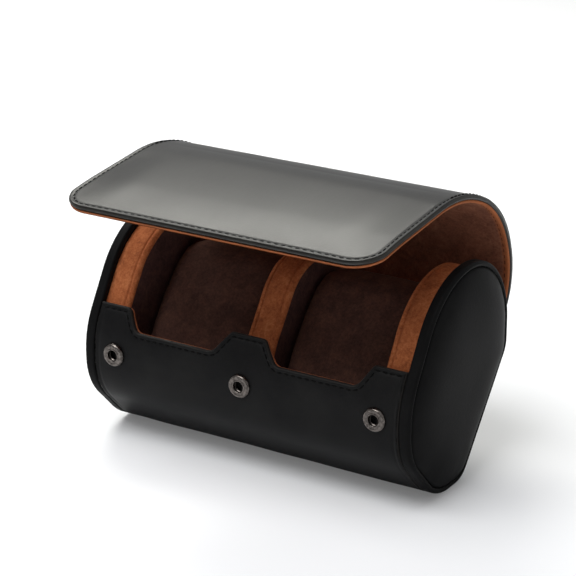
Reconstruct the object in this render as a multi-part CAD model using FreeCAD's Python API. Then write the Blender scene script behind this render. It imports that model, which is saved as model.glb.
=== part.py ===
import FreeCAD
import Part

import math
import os

# Travel case for two wrist watches: a padded leather roll with two end panels, a suede-lined
# inside with two cushions, and a soft flap that folds over the top and snaps to the front wall.
# Millimetres. X runs along the roll, -Y is the front, +Z is up. The origin is the middle of the
# flat that the case stands on. The flap is drawn part open.

Vector = FreeCAD.Vector

# Overall form, seen from the end: places and radii are shares of the case's height
case_height = 100.0
back_share = 0.513
front_share = 0.403
base_back_share = 0.11
base_front_share = 0.135
back_corner_share = 0.495
front_lower_share = 0.28
front_upper_share = 0.535
crown_front_share = 0.1225
base_back_radius_share = 0.04
back_corner_radius_share = 0.11
crown_back_radius_share = 0.38
crown_front_radius_share = 0.44
front_upper_radius_share = 0.4
front_lower_radius_share = 0.3
base_front_radius_share = 0.28

# Along the roll
rim_length = 168.0
rim_width = 5.3
lid_side_gap = 0.5

# Wall and flap layers
leather = 1.4
body_board = 1.2
lid_board = 0.8
suede = 0.8
board_inset = 2.5
lining_inset = 0.4

# Front wall edge: high beside the ends and at the middle tab, low in front of the cushions
edge_high_share = 0.659
edge_low_share = 0.565
end_tab = 15.85
end_tab_slope = 6.0
middle_slope_x = 16.25
middle_tab_x = 8.75
edge_outer_radius = 3.0
edge_inner_radius = 4.5

# End panels
rim_depth = 4.6
rim_roll_radius = 2.0
end_board = 2.0
cover_leather = 1.2
cover_seat = 1.6
cover_rise = 5.4
cover_base_clearance = 0.1
cover_least_radius = 2.5
cover_size_shares = (1.0, 0.97, 0.88, 0.65, 0.35)
cover_rise_shares = (0.0, 0.34, 0.68, 0.93, 1.0)

# Inner end walls and the divider
inner_wall = 12.5
divider = 15.0
band_drop = 3.8
inner_edge_radius = 1.2
divider_front_drop_share = 0.08
divider_top_drop_share = 0.065
divider_crown_radius_share = 0.3

# Flap, from the hinge over the top to the front edge, part open: a run of arcs that wraps the
# case, so that its radii are shares of the case's height too
hinge_share = 0.515
hinge_inset_share = 0.002
lid_heading = 34.7
lid_back_share = 0.342
lid_back_turn = 69.9
lid_shoulder_share = 0.52
lid_shoulder_turn = 40.4
lid_crest_turn = 8.3
lid_top_share = 0.776
lid_top_turn = 32.9
lid_apron_share = 0.1985
lid_strip = 39.3
lid_corner_radius = 20.0
hinge_gap = 0.3
fold_gap = 0.7
strip_gap = 0.3
hinge_close_angle = 36.2
fold_close_angle = 14.6
strip_close_angle = 33.0

# Snap fasteners
snap_inset = 16.6
snap_share = 0.4435
ring_radius = 5.5
ring_height = 2.0
ring_seat = 0.5
ring_roll = 0.7
ring_bore_radius = 2.5
groove_radius = 3.2
groove_low = 0.5
groove_high = 1.3
spring_wire_radius = 0.3
spring_spread = 1.75
spring_end_clearance = 0.1
eyelet_wall = 0.4
eyelet_flange_radius = 4.2
eyelet_flange = 0.4
fit_clearance = 0.05
stud_base_radius = 5.0
stud_base = 0.5
stud_neck_radius = 1.3
stud_head_radius = 1.9
stud_head_high = 0.3
stud_head_depth = 1.4
stud_head_roll = 0.6
rivet_radius = 1.0
rivet_flange_radius = 3.5
rivet_flange = 0.4

# Cushions
cushion_length_share = 0.75
cushion_start_share = 0.003
cushion_side_share = 0.49
cushion_crown_share = 0.55
cushion_back_low_share = 0.1
cushion_back_high_share = 0.22
cushion_front_share = 0.21
cushion_crown_radius_share = 1.1
cushion_back_clearance = 0.4
cushion_side_clearance = 0.8
cushion_cover = 1.5
cushion_end_shares = (0.0, 0.03, 0.1)
cushion_inset_shares = (0.085, 0.035, 0.006)

# One overrun for all cuts, and the facets of a rolled leather edge
overrun = 5.0
roll_steps = 4
smallest_radius = 0.5

back_y = case_height * back_share
front_y = -case_height * front_share
base_back_y = case_height * base_back_share
base_front_y = -case_height * base_front_share
back_corner_z = case_height * back_corner_share
front_lower_z = case_height * front_lower_share
front_upper_z = case_height * front_upper_share
crown_front_y = -case_height * crown_front_share
edge_high_z = case_height * edge_high_share
edge_low_z = case_height * edge_low_share
divider_front_drop = case_height * divider_front_drop_share
divider_top_drop = case_height * divider_top_drop_share
hinge_z = case_height * hinge_share
hinge_y = back_y - case_height * hinge_inset_share
lid_back_radius = case_height * lid_back_share
lid_shoulder_radius = case_height * lid_shoulder_share
lid_top_radius = case_height * lid_top_share
lid_apron = case_height * lid_apron_share
snap_z = case_height * snap_share
cushion_length = case_height * cushion_length_share
cushion_side = case_height * cushion_side_share
cushion_crown = case_height * cushion_crown_share

body_wall = leather + body_board + suede
lid_wall = leather + lid_board + suede
rim_outer_x = rim_length / 2
rim_inner_x = rim_outer_x - rim_width
lid_half = rim_inner_x - lid_side_gap
end_tab_x = rim_inner_x - end_tab
end_slope_x = end_tab_x - end_tab_slope
snap_x = rim_outer_x - snap_inset
inner_wall_x = rim_inner_x - inner_wall


def offset_corners(corners, distance):
    """Corners of a counter-clockwise outline moved inward by a distance."""
    lines = []
    count = len(corners)
    for index in range(count):
        ay, az = corners[index]
        by, bz = corners[(index + 1) % count]
        length = math.hypot(by - ay, bz - az)
        ty, tz = (by - ay) / length, (bz - az) / length
        lines.append((ay - tz * distance, az + ty * distance, ty, tz))
    moved = []
    for index in range(count):
        py, pz, ty, tz = lines[index - 1]
        qy, qz, sy, sz = lines[index]
        along = ((qy - py) * sz - (qz - pz) * sy) / (ty * sz - tz * sy)
        moved.append((py + ty * along, pz + tz * along))
    return moved


def rounded_edges(corners, radii, place):
    """Lines and arcs round a closed polygon; place turns a flat point into a point in space."""
    count = len(corners)
    starts, ends, arcs = [], [], []
    for index in range(count):
        corner = FreeCAD.Vector(corners[index][0], corners[index][1], 0)
        before = FreeCAD.Vector(corners[index - 1][0], corners[index - 1][1], 0)
        after = FreeCAD.Vector(*corners[(index + 1) % count], 0)
        back = (before - corner).normalize()
        ahead = (after - corner).normalize()
        half = back.getAngle(ahead) / 2
        radius = radii[index]
        if radius <= 0 or half > math.radians(89.9):
            starts.append(corner)
            ends.append(corner)
            arcs.append(None)
            continue
        reach = radius / math.tan(half)
        middle = (back + ahead).normalize()
        arcs.append(corner + middle * (radius / math.sin(half) - radius))
        starts.append(corner + back * reach)
        ends.append(corner + ahead * reach)
    edges = []
    for index in range(count):
        if arcs[index] is not None:
            points = [place(starts[index]), place(arcs[index]), place(ends[index])]
            edges.append(Part.Arc(*points).toShape())
        follow = (index + 1) % count
        if (starts[follow] - ends[index]).Length > fit_clearance / 100:
            edges.append(Part.LineSegment(place(ends[index]), place(starts[follow])).toShape())
    return edges


def end_view(x):
    """Place outline points (y, z) on the plane at x."""
    return lambda point: Vector(x, point.x, point.y)


def front_view(y):
    """Place outline points (x, z) on the plane at y."""
    return lambda point: Vector(point.x, y, point.y)


def prism(corners, radii, low_x, high_x):
    """Solid with an end-view outline, from low_x to high_x."""
    wire = Part.Wire(rounded_edges(corners, radii, end_view(low_x)))
    return Part.Face(wire).extrude(Vector(high_x - low_x, 0, 0))


def single(shape):
    """The one solid of a boolean result, with its split faces merged."""
    merged = shape.removeSplitter()
    return merged.Solids[0] if len(merged.Solids) == 1 else merged


def write(name, shape):
    """Write one node."""
    shape.exportStep("parts/" + name + ".step")


case_corners = [
    (base_back_y, 0),
    (back_y, back_corner_z),
    (back_y, case_height),
    (crown_front_y, case_height),
    (front_y, front_upper_z),
    (front_y, front_lower_z),
    (base_front_y, 0),
]
case_radius_shares = [
    base_back_radius_share,
    back_corner_radius_share,
    crown_back_radius_share,
    crown_front_radius_share,
    front_upper_radius_share,
    front_lower_radius_share,
    base_front_radius_share,
]
case_radii = [case_height * share for share in case_radius_shares]


def case_prism(inset, low_x, high_x):
    """Solid with the case's end outline moved inward by an inset."""
    radii = [radius - inset if radius - inset > smallest_radius else 0 for radius in case_radii]
    return prism(offset_corners(case_corners, inset), radii, low_x, high_x)


def case_loft(stations):
    """Solid through the case's end outline at stations of (inset, x)."""
    wires = []
    for inset, x in stations:
        radii = [max(radius - inset, smallest_radius) for radius in case_radii]
        wires.append(Part.Wire(rounded_edges(offset_corners(case_corners, inset), radii, end_view(x))))
    return Part.makeLoft(wires, True, True)


def roll_stations(inset, x, radius, inset_sign, x_sign):
    """Stations of a rolled edge, from the side face round to the end face."""
    found = []
    for step in range(roll_steps + 1):
        angle = math.radians(90) * step / roll_steps
        drawn = inset + inset_sign * radius * (1 - math.cos(angle))
        found.append((drawn, x - x_sign * radius * (1 - math.sin(angle))))
    return found


def both_ends(name, shape):
    """Write the right-hand piece and its mirror image."""
    write(name + "_right", shape)
    write(name + "_left", shape.mirror(Vector(0, 0, 0), Vector(1, 0, 0)))


# Flap geometry: a path of arcs in the end view

closed_start = math.radians(lid_heading + hinge_close_angle)


def turn_point(point, centre, angle):
    """Turn a (y, z) point about a centre, counter-clockwise in degrees."""
    a = math.radians(angle)
    dy, dz = point[0] - centre[0], point[1] - centre[1]
    return (
        centre[0] + dy * math.cos(a) - dz * math.sin(a),
        centre[1] + dy * math.sin(a) + dz * math.cos(a),
    )


def follow_path(start, heading, pieces):
    """Stations (y, z, heading) along pieces given as (radius, turn in degrees) or (length, 0)."""
    stations = [(start[0], start[1], math.radians(heading))]
    for size, turn in pieces:
        y, z, h = stations[-1]
        if turn:
            cy, cz = y - size * math.sin(h), z + size * math.cos(h)
            h += math.radians(turn)
            stations.append((cy + size * math.sin(h), cz - size * math.cos(h), h))
        else:
            stations.append((y + size * math.cos(h), z + size * math.sin(h), h))
    return stations


def inward(station, depth):
    """A station's point moved in from the flap's outer face."""
    y, z, h = station
    return (y - depth * math.sin(h), z + depth * math.cos(h))


def layer(start, pieces, outer, inner, half_width):
    """One layer of a bent flap section between two depths."""
    stations = follow_path(start[:2], math.degrees(start[2]), pieces)
    edges = []

    def point(station, depth):
        y, z = inward(station, depth)
        return Vector(-half_width, y, z)

    def run(depth, order):
        found = []
        for index in order:
            size, turn = pieces[index]
            a, b = stations[index], stations[index + 1]
            if turn:
                half = follow_path(a[:2], math.degrees(a[2]), [(size, turn / 2)])[-1]
                arc = Part.Arc(point(a, depth), point(half, depth), point(b, depth))
                found.append(arc.toShape())
            else:
                found.append(Part.LineSegment(point(a, depth), point(b, depth)).toShape())
        return found

    order = list(range(len(pieces)))
    edges += run(outer, order)
    edges.append(Part.LineSegment(point(stations[-1], outer), point(stations[-1], inner)).toShape())
    edges += run(inner, order[::-1])
    edges.append(Part.LineSegment(point(stations[0], inner), point(stations[0], outer)).toShape())
    face = Part.Face(Part.Wire(Part.__sortEdges__(edges)))
    return face.extrude(Vector(2 * half_width, 0, 0))


def arc_gap(radius, gap):
    """Turn in degrees that a gap takes along an arc."""
    return math.degrees(gap / radius)


back_pieces = [
    (lid_back_radius, lid_back_turn - arc_gap(lid_back_radius, hinge_gap)),
    (lid_shoulder_radius, lid_shoulder_turn - arc_gap(lid_shoulder_radius, fold_gap / 2)),
]
panel_pieces = [
    (lid_shoulder_radius, lid_crest_turn - arc_gap(lid_shoulder_radius, fold_gap / 2)),
    (lid_top_radius, lid_top_turn),
    (lid_apron - strip_gap / 2, 0),
]
hinge_start = (hinge_y, hinge_z)
back_start = follow_path(
    hinge_start,
    lid_heading,
    [(lid_back_radius, arc_gap(lid_back_radius, hinge_gap))],
)[-1]
fold_station = follow_path(
    hinge_start,
    lid_heading,
    [(lid_back_radius, lid_back_turn), (lid_shoulder_radius, lid_shoulder_turn)],
)[-1]
panel_start = follow_path(
    fold_station[:2],
    math.degrees(fold_station[2]),
    [(lid_shoulder_radius, arc_gap(lid_shoulder_radius, fold_gap / 2))],
)[-1]
strip_station = follow_path(
    fold_station[:2],
    math.degrees(fold_station[2]),
    [(lid_shoulder_radius, lid_crest_turn), (lid_top_radius, lid_top_turn), (lid_apron, 0)],
)[-1]

fold_pivot = inward(fold_station, lid_wall / 2)
strip_pivot = inward(strip_station, lid_wall)
closing = [
    (strip_pivot, strip_close_angle),
    (fold_pivot, fold_close_angle),
    (hinge_start, hinge_close_angle),
]


def closed_point(point):
    """Where a point of the flap's front strip comes to with the flap shut."""
    for pivot, angle in closing:
        point = turn_point(point, pivot, angle)
    return point


def reopen(shape):
    """Move a solid drawn on the shut front strip to where the part-open strip holds it."""
    moved = shape.copy()
    for pivot, angle in closing[::-1]:
        moved.rotate(Vector(0, pivot[0], pivot[1]), Vector(1, 0, 0), -angle)
    return moved


# Body wall

def front_edge_tool():
    """Everything below the scalloped front edge, in front of the middle."""
    right = [
        (rim_inner_x, edge_high_z, 0),
        (end_tab_x, edge_high_z, edge_outer_radius),
        (end_slope_x, edge_low_z, edge_inner_radius),
        (middle_slope_x, edge_low_z, edge_inner_radius),
        (middle_tab_x, edge_high_z, edge_outer_radius),
    ]
    left = [(-x, z, radius) for x, z, radius in right[::-1]]
    table = [(-rim_inner_x, -overrun, 0), (rim_inner_x, -overrun, 0)] + right + left
    corners = [(x, z) for x, z, radius in table]
    radii = [radius for x, z, radius in table]
    wire = Part.Wire(rounded_edges(corners, radii, front_view(front_y - overrun)))
    return Part.Face(wire).extrude(Vector(0, -front_y + overrun, 0))


def back_edge_tool():
    """Everything below the hinge line, behind the middle."""
    slope = math.cos(closed_start) / math.sin(closed_start)
    high = hinge_z + hinge_y * slope
    low = hinge_z - overrun * slope
    corners = [
        (0, -overrun),
        (hinge_y + overrun, -overrun),
        (hinge_y + overrun, low),
        (0, high),
    ]
    return prism(corners, [0, 0, 0, 0], -rim_inner_x, rim_inner_x)


def wall_layer(outer, inner):
    """One layer of the body wall between two depths."""
    ring = case_prism(outer, -rim_inner_x, rim_inner_x)
    ring = ring.cut(case_prism(inner, -rim_inner_x, rim_inner_x))
    front = ring.common(front_edge_tool())
    back = ring.common(back_edge_tool())
    return single(front.fuse(back))


snap_places = (-snap_x, 0.0, snap_x)
seat_y = front_y + ring_seat


def snap_turned(profile):
    """Turn a half profile of (radius, height above the seat) points about the socket axis."""
    points = [Vector(radius, seat_y - height, snap_z) for radius, height in profile]
    wire = Part.makePolygon(points + points[:1])
    return Part.Face(wire).revolve(Vector(0, seat_y, snap_z), Vector(0, 1, 0), 360)


def snap_disc(radius, low, high):
    """Cylinder on the socket axis at x = 0 between two heights above the seat."""
    base = Vector(0, seat_y - low, snap_z)
    return Part.makeCylinder(radius, high - low, base, Vector(0, -1, 0))


def at_snaps(shape):
    """Copies of a piece at the three snaps, as one compound."""
    copies = []
    for x in snap_places:
        moved = shape.copy()
        moved.translate(Vector(x, 0, 0))
        copies.append(moved)
    return Part.makeCompound(copies)


def body_layers():
    """Outer leather, board and suede lining of the body, drilled for the sockets."""
    eyelet_radius = ring_bore_radius + eyelet_wall + fit_clearance
    ring_hole = at_snaps(snap_disc(ring_radius + fit_clearance, 0, ring_height))
    drill = at_snaps(snap_disc(eyelet_radius, -body_wall, ring_height))
    flange_low = ring_seat - leather - body_board
    recess = at_snaps(snap_disc(eyelet_flange_radius + fit_clearance, flange_low, ring_seat - leather))
    write("body_leather", single(wall_layer(0, leather).cut(ring_hole).cut(drill)))
    write("body_board", single(wall_layer(leather, leather + body_board).cut(drill).cut(recess)))
    write("body_lining", single(wall_layer(leather + body_board, body_wall).cut(recess)))


def sockets():
    """Socket rings with their spring wires, and the eyelets that hold them in the wall."""
    ring = snap_turned([
        (ring_bore_radius, 0),
        (ring_radius, 0),
        (ring_radius, ring_height - ring_roll),
        (ring_radius - ring_roll / 3, ring_height - ring_roll / 3),
        (ring_radius - ring_roll, ring_height),
        (ring_bore_radius + ring_roll, ring_height),
        (ring_bore_radius, ring_height - ring_roll / 2),
        (ring_bore_radius, groove_high),
        (groove_radius, groove_high),
        (groove_radius, groove_low),
        (ring_bore_radius, groove_low),
    ])
    write("socket_rings", at_snaps(ring))

    half = math.sqrt(groove_radius ** 2 - (spring_spread + spring_wire_radius) ** 2) - spring_end_clearance
    wires = []
    height = (groove_low + groove_high) / 2
    for side in (-1, 1):
        base = Vector(side * spring_spread, seat_y - height, snap_z - half)
        wires.append(Part.makeCylinder(spring_wire_radius, 2 * half, base, Vector(0, 0, 1)))
    write("socket_springs", at_snaps(Part.makeCompound(wires)))

    flange_low = ring_seat - leather - body_board
    tube = snap_disc(ring_bore_radius + eyelet_wall, flange_low, 0)
    flange = snap_disc(eyelet_flange_radius, flange_low, flange_low + eyelet_flange)
    eyelet = single(tube.fuse(flange)).cut(snap_disc(ring_bore_radius, -overrun, overrun))
    write("socket_eyelets", at_snaps(eyelet))


# End panels

def cover_loft(start_x, rise, inset, every):
    """Padded dome over an end panel, through every so many of its stations."""
    corners = offset_corners(case_corners, rim_depth + cover_base_clearance + inset)
    radii = [max(radius - rim_depth - inset, cover_least_radius) for radius in case_radii]
    middle_y = (back_y + front_y) / 2
    middle_z = case_height / 2
    wires = []
    for scale, share in zip(cover_size_shares[::every], cover_rise_shares[::every]):
        spread = [
            (middle_y + (y - middle_y) * scale, middle_z + (z - middle_z) * scale)
            for y, z in corners
        ]
        rounded = [radius * scale for radius in radii]
        wires.append(Part.Wire(rounded_edges(spread, rounded, end_view(start_x + rise * share))))
    return Part.makeLoft(wires, True, True)


def end_panels():
    """Rim, board, pad and padded leather cover at each end."""
    outside = [(0, rim_inner_x)] + roll_stations(0, rim_outer_x, rim_roll_radius, 1, 1)
    inside = [(rim_depth, rim_inner_x)] + roll_stations(rim_depth, rim_outer_x, rim_roll_radius, -1, 1)
    rim = single(case_loft(outside).cut(case_loft(inside)))
    both_ends("end_rim", rim)
    board_x = rim_inner_x + end_board
    both_ends("end_board", case_prism(rim_depth, rim_inner_x, board_x))
    cover = cover_loft(board_x, cover_seat + cover_rise, 0, 1)
    pad = cover_loft(board_x, cover_seat + cover_rise - cover_leather, cover_leather, 2)
    both_ends("end_cover", single(cover.cut(pad)))
    both_ends("end_pad", pad)


# Inner end walls and divider

def inner_walls():
    """Suede-covered inner end walls, whose rims show as bands beside the end rims."""
    low_x = inner_wall_x
    rounded = roll_stations(band_drop, low_x, inner_edge_radius, 1, -1)
    block = case_loft(rounded[::-1] + [(band_drop, rim_inner_x)])
    core = case_prism(band_drop + suede, low_x + suede, rim_inner_x)
    both_ends("inner_wall_suede", single(block.cut(core)))
    both_ends("inner_wall_core", core)


divider_radius_shares = [
    base_back_radius_share,
    back_corner_radius_share,
    crown_back_radius_share,
    divider_crown_radius_share,
    front_upper_radius_share,
    front_lower_radius_share,
    base_front_radius_share,
]
divider_radii = [case_height * share for share in divider_radius_shares]


def divider_corners(inset):
    """Outline of the divider: the case's outline, set back at the front and top."""
    corners = [
        (base_back_y, 0),
        (back_y, back_corner_z),
        (back_y, case_height - divider_top_drop),
        (crown_front_y + divider_front_drop, case_height - divider_top_drop),
        (front_y + divider_front_drop, front_upper_z),
        (front_y + divider_front_drop, front_lower_z - divider_front_drop / 2),
        (base_front_y, 0),
    ]
    return offset_corners(corners, band_drop + inset)


def divider_prism(inset, half):
    """Solid with the divider's outline."""
    radii = [max(radius - band_drop - inset, inner_edge_radius) for radius in divider_radii]
    return prism(divider_corners(inset), radii, -half, half)


def middle_divider():
    """Suede-covered divider between the two cushions."""
    half = divider / 2
    block = divider_prism(0, half)
    core = divider_prism(suede, half - suede)
    write("divider_suede", block.cut(core))
    write("divider_core", core)


# Flap

def flap_section(name, start, pieces):
    """Leather, board and lining of one bent section of the flap."""
    write(name + "_leather", layer(start, pieces, 0, leather, lid_half))
    write(name + "_board", layer(start, pieces, leather, leather + lid_board, lid_half - board_inset))
    write(name + "_lining", layer(start, pieces, leather + lid_board, lid_wall, lid_half - lining_inset))


def strip_plate(outer, inner, inset):
    """One layer of the flat front strip with its two rounded corners."""
    half = lid_half - inset
    length = lid_strip - inset
    corners = [(-half, strip_gap / 2), (half, strip_gap / 2), (half, length), (-half, length)]
    radius = lid_corner_radius - inset
    y, z, heading = strip_station
    along = Vector(0, math.cos(heading), math.sin(heading))
    inside = Vector(0, -math.sin(heading), math.cos(heading))
    origin = Vector(0, y, z) + inside * outer

    def place(point):
        return origin + Vector(point.x, 0, 0) + along * point.y

    wire = Part.Wire(rounded_edges(corners, [0, 0, radius, radius], place))
    return Part.Face(wire).extrude(inside * (inner - outer))


def front_strip():
    """The flap's front strip with its three studs, which fit the sockets when shut."""
    inner_y = closed_point(inward(strip_station, lid_wall))[0]
    inner_height = seat_y - inner_y
    base_low = inner_height - stud_base
    stud = snap_turned([
        (0, inner_height),
        (stud_base_radius, inner_height),
        (stud_base_radius, base_low),
        (stud_neck_radius, base_low),
        (stud_neck_radius, stud_head_high),
        (stud_head_radius - stud_head_roll / 3, stud_head_high),
        (stud_head_radius, stud_head_high - stud_head_roll / 2),
        (stud_head_radius, stud_head_roll - stud_head_depth),
        (stud_head_radius - stud_head_roll, -stud_head_depth),
        (0, -stud_head_depth),
    ])
    rivet_high = inner_height + suede + lid_board
    post = snap_disc(rivet_radius, inner_height, rivet_high)
    flange = snap_disc(rivet_flange_radius, rivet_high - rivet_flange, rivet_high)
    rivet = single(post.fuse(flange))
    hole = at_snaps(snap_disc(rivet_radius + fit_clearance, inner_height - overrun, rivet_high))
    recess = at_snaps(snap_disc(rivet_flange_radius + fit_clearance, rivet_high - rivet_flange, rivet_high))
    write("stud_heads", reopen(at_snaps(stud)))
    write("stud_rivets", reopen(at_snaps(rivet)))
    drill = reopen(hole)
    pocket = reopen(recess)
    write("lid_strip_leather", strip_plate(0, leather, 0))
    board_plate = strip_plate(leather, leather + lid_board, board_inset)
    write("lid_strip_board", board_plate.cut(drill).cut(pocket))
    write("lid_strip_lining", strip_plate(leather + lid_board, lid_wall, lining_inset).cut(drill))


# Cushions

def cushion_solid(centre_x, inset, end_shares, inset_shares):
    """A crowned cushion lying on the sloping back wall, smaller all round by an inset."""
    rise = math.atan2(back_corner_z, back_y - base_back_y)
    along = Vector(0, math.cos(rise), math.sin(rise))
    out = Vector(0, -math.sin(rise), math.cos(rise))
    origin = Vector(0, base_back_y, 0) + out * (body_wall + cushion_back_clearance)
    origin = origin - along * (case_height * cushion_start_share)
    half = (inner_wall_x - divider / 2) / 2 - cushion_side_clearance - inset
    corners = [
        (0, 0),
        (cushion_length, 0),
        (cushion_length, cushion_side),
        (cushion_length / 2, cushion_crown),
        (0, cushion_side),
    ]
    radius_shares = [
        cushion_back_low_share,
        cushion_back_high_share,
        cushion_front_share,
        cushion_crown_radius_share,
        cushion_front_share,
    ]
    radii = [case_height * share for share in radius_shares]
    shares = list(zip(end_shares, inset_shares))
    stations = [(-half + share * 2 * half, draw) for share, draw in shares]
    stations += [(half - share * 2 * half, draw) for share, draw in shares[::-1]]
    wires = []
    for x, draw in stations:
        drawn = inset + draw * cushion_side
        points = offset_corners(corners, drawn)
        rounded = [radius - drawn for radius in radii]

        def place(point, x=x):
            return origin + Vector(centre_x + x, 0, 0) + along * point.x + out * point.y

        wires.append(Part.Wire(rounded_edges(points, rounded, place)))
    return Part.makeLoft(wires, True, True)


def cushions():
    """The two cushions, each a foam core in a suede cover."""
    centre = (inner_wall_x + divider / 2) / 2
    cover = cushion_solid(centre, 0, cushion_end_shares, cushion_inset_shares)
    core = cushion_solid(centre, cushion_cover, cushion_end_shares[:1], cushion_inset_shares[:1])
    both_ends("cushion_cover", single(cover.cut(core)))
    both_ends("cushion_core", core)


def main():
    os.makedirs("parts", exist_ok=True)
    body_layers()
    sockets()
    end_panels()
    inner_walls()
    middle_divider()
    flap_section("lid_back", back_start, back_pieces)
    flap_section("lid_panel", panel_start, panel_pieces)
    front_strip()
    cushions()


main()
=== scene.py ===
import math

import bpy
import numpy as np
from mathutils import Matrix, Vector, noise


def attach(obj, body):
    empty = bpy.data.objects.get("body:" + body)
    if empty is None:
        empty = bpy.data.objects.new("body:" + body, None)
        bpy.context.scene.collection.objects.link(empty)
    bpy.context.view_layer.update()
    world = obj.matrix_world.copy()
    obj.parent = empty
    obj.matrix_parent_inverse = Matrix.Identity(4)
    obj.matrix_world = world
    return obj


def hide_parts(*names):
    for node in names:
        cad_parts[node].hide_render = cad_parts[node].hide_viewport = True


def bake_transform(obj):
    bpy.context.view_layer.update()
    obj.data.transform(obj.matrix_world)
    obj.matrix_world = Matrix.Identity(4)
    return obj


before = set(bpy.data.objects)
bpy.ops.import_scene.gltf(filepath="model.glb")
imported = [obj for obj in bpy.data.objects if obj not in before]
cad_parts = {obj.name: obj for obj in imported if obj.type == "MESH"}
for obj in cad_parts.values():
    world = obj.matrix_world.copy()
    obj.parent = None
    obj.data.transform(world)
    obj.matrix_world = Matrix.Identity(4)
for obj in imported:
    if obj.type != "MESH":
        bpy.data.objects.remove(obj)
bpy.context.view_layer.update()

# Lengths are written in millimetres and turned into metres where a mesh is made.
MM = 0.001

# Corners (y, z) and radii of the case's end outline, and of the divider's, from the lower back
# corner round. The lower back corner is rounder than the frame's.
BACK_Y = 51.3
BASE_BACK = (11.0, 0.0)
BACK_CORNER = (BACK_Y, 49.5)
CASE_CORNERS = [
    BASE_BACK, BACK_CORNER, (BACK_Y, 100.0), (-12.25, 100.0), (-40.3, 53.5), (-40.3, 28.0), (-13.5, 0.0),
]
CASE_RADII = [13.0, 11.0, 38.0, 44.0, 40.0, 30.0, 28.0]
DIVIDER_CORNERS = [
    BASE_BACK, BACK_CORNER, (BACK_Y, 93.5), (-4.25, 93.5), (-32.3, 53.5), (-32.3, 24.0), (-13.5, 0.0),
]
DIVIDER_RADII = [8.0, 11.0, 38.0, 30.0, 40.0, 30.0, 28.0]
SIDES = ((1, "right"), (-1, "left"))

# The end faces are filled in towards this point.
MIDDLE = np.array([5.5, 50.0])

# Distances from the middle plane: the rims' outer face and foot, the flap's side edge, the inner
# face of the inner end walls and the divider's face. BAND_DROP is how far the walls' suede lies
# inside the outline.
RIM_X = 84.0
RIM_FOOT_X = 78.7
LID_X = 78.2
BAND_X = 66.2
DIVIDER_X = 7.5
BAND_DROP = 3.8

# Layer thicknesses. The flap's skin is its leather with part of its board.
LEATHER = 1.4
BODY_BOARD = 1.2
LID_BOARD = 0.8
SUEDE = 0.8
BODY_SKIN = LEATHER + BODY_BOARD
LID_SKIN = 1.8
LID_LINING = LEATHER + LID_BOARD + SUEDE - LID_SKIN
LINING_INSET = 0.3

# Stitch lines: their distance from an edge, and the spacing of their stitches
STITCH_INSET = 2.4
STITCH_PITCH = 3.4
RIM_PITCH = 3.2

# Front edge of the body as (x, z, radius): high beside the ends and at the middle tab
EDGE_TABLE = [(62.85, 65.9, 3.0), (56.85, 56.5, 4.5), (16.25, 56.5, 4.5), (8.75, 65.9, 3.0)]

# The back and the flap in the end view: the height where their leather starts, the hinge and the
# flap's heading there, its arcs as (radius, turn), and the apron and front strip after them. The
# free end curls in by CURL, and the kink at the hinge is rounded over BEND_REACH each way.
PATH_STEP = 0.25
BACK_START_Z = 22.0
HINGE = (51.1, 51.5)
LID_HEADING = 34.7
LID_BACK = [(34.2, 69.9), (52.0, 40.4)]
LID_TOP = [(52.0, 8.3), (77.6, 32.9)]
LID_APRON = 19.85
LID_STRIP = 39.3
LID_CORNER = 14.0
CURL = 1.2
CURL_START = 13.0
BEND_REACH = 5.0

# Share of the outline, from there under the case and up the front, that the body's leather takes
FRONT_SHARE = 0.62

SNAP_X = 67.4
SNAP_Z = 44.35
SNAP_FACE_Y = -39.8
STUD_RECESS = 2.2
STUD_RADIUS = 2.9


def unit(vector):
    return vector / np.maximum(np.linalg.norm(vector, axis=-1, keepdims=True), 1e-9)


def smooth(low, high, value):
    """A soft step from 0 at low to 1 at high."""
    t = np.clip((value - low) / (high - low), 0, 1)
    return t * t * (3 - 2 * t)


def ridge(value, middle, width, height):
    """A soft ridge along a line, or a groove where height is negative."""
    return height * np.exp(-((value - middle) / width) ** 2)


def wander(x, y, size, seed):
    """Slow unevenness, from about -1 to 1, at the points x, y, with bumps about size across."""
    flat_x, flat_y = np.ravel(x) / size, np.ravel(y) / size
    found = [noise.noise(Vector((a, b, seed))) for a, b in zip(flat_x, flat_y)]
    return np.array(found).reshape(np.shape(x)) * 1.6


# Outlines and paths in the end view

def to_right(ahead):
    """Each flat direction turned a quarter to its right."""
    return np.stack([ahead[:, 1], -ahead[:, 0]], axis=1)


def inset_corners(corners, distance):
    """Corners of a counter-clockwise polygon moved inward."""
    points = np.array(corners, float)
    ahead = unit(np.roll(points, -1, axis=0) - points)
    base = points - to_right(ahead) * distance
    moved = []
    for index in range(len(points)):
        p, t = base[index - 1], ahead[index - 1]
        q, s = base[index], ahead[index]
        along = ((q[0] - p[0]) * s[1] - (q[1] - p[1]) * s[0]) / (t[0] * s[1] - t[1] * s[0])
        moved.append(p + t * along)
    return np.array(moved)


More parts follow.
